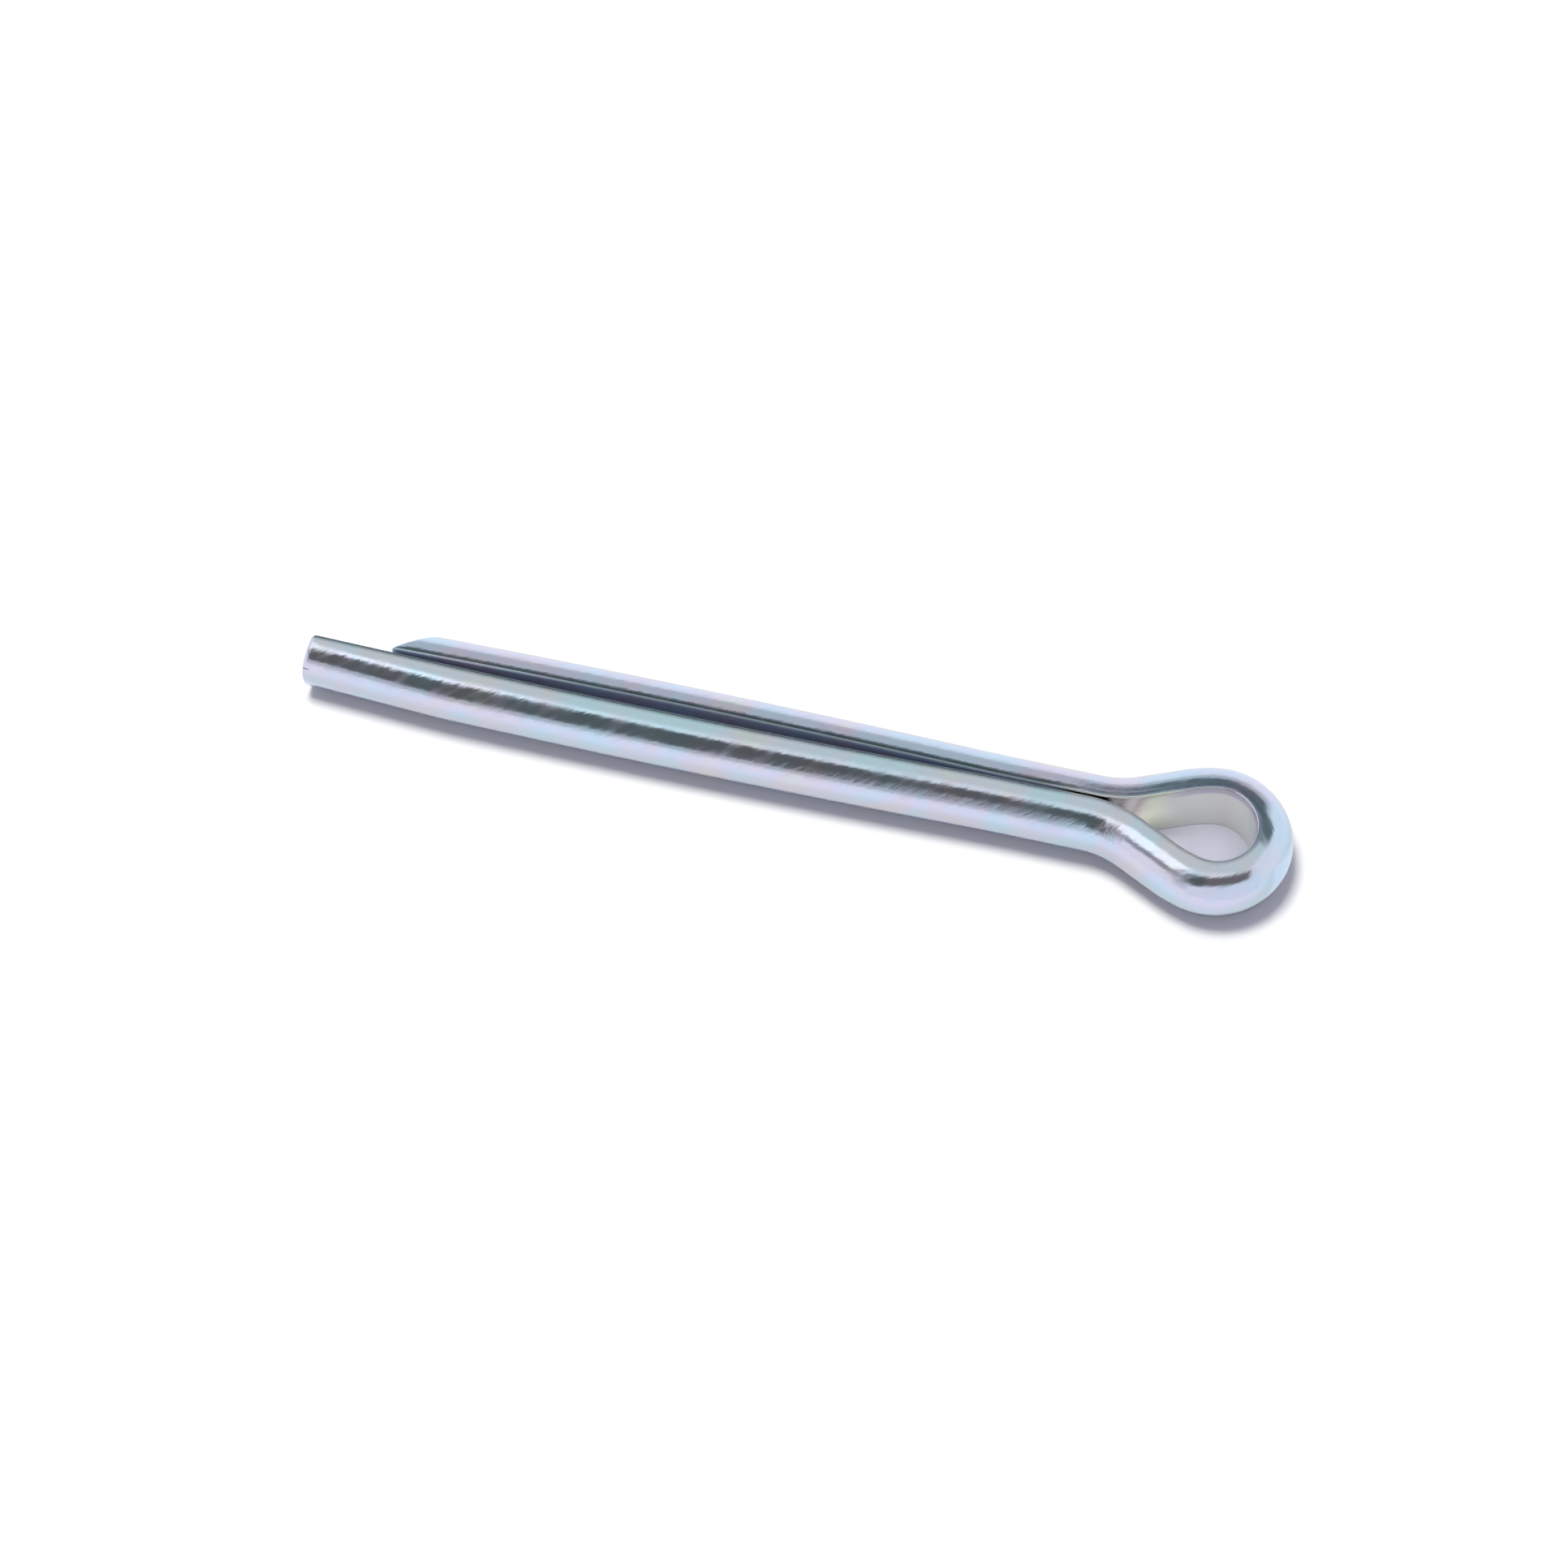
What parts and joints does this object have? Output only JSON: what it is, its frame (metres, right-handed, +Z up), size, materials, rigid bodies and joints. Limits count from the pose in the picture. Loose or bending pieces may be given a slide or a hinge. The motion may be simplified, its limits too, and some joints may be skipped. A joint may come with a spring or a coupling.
{
  "type": "cotter pin",
  "caption": "Split cotter pin folded from half-round wire, with a rounded eye and legs of unequal length that bow slightly apart along the shank.",
  "frame": {"origin": "on the axis of the closed shank, at the neck where the legs part to form the eye", "axes": "+X along the shank toward the eye, +Z up out of the plane of the fold, as the pin lies on its side"},
  "size_m": [0.0467, 0.0073, 0.0036],
  "materials": {
    "zinc_steel": "bright zinc plate on drawn steel wire, with a faint blue and violet sheen"
  },
  "bodies": {
    "root": {"cotter_pin": "zinc_steel"}
  },
  "joints": []
}
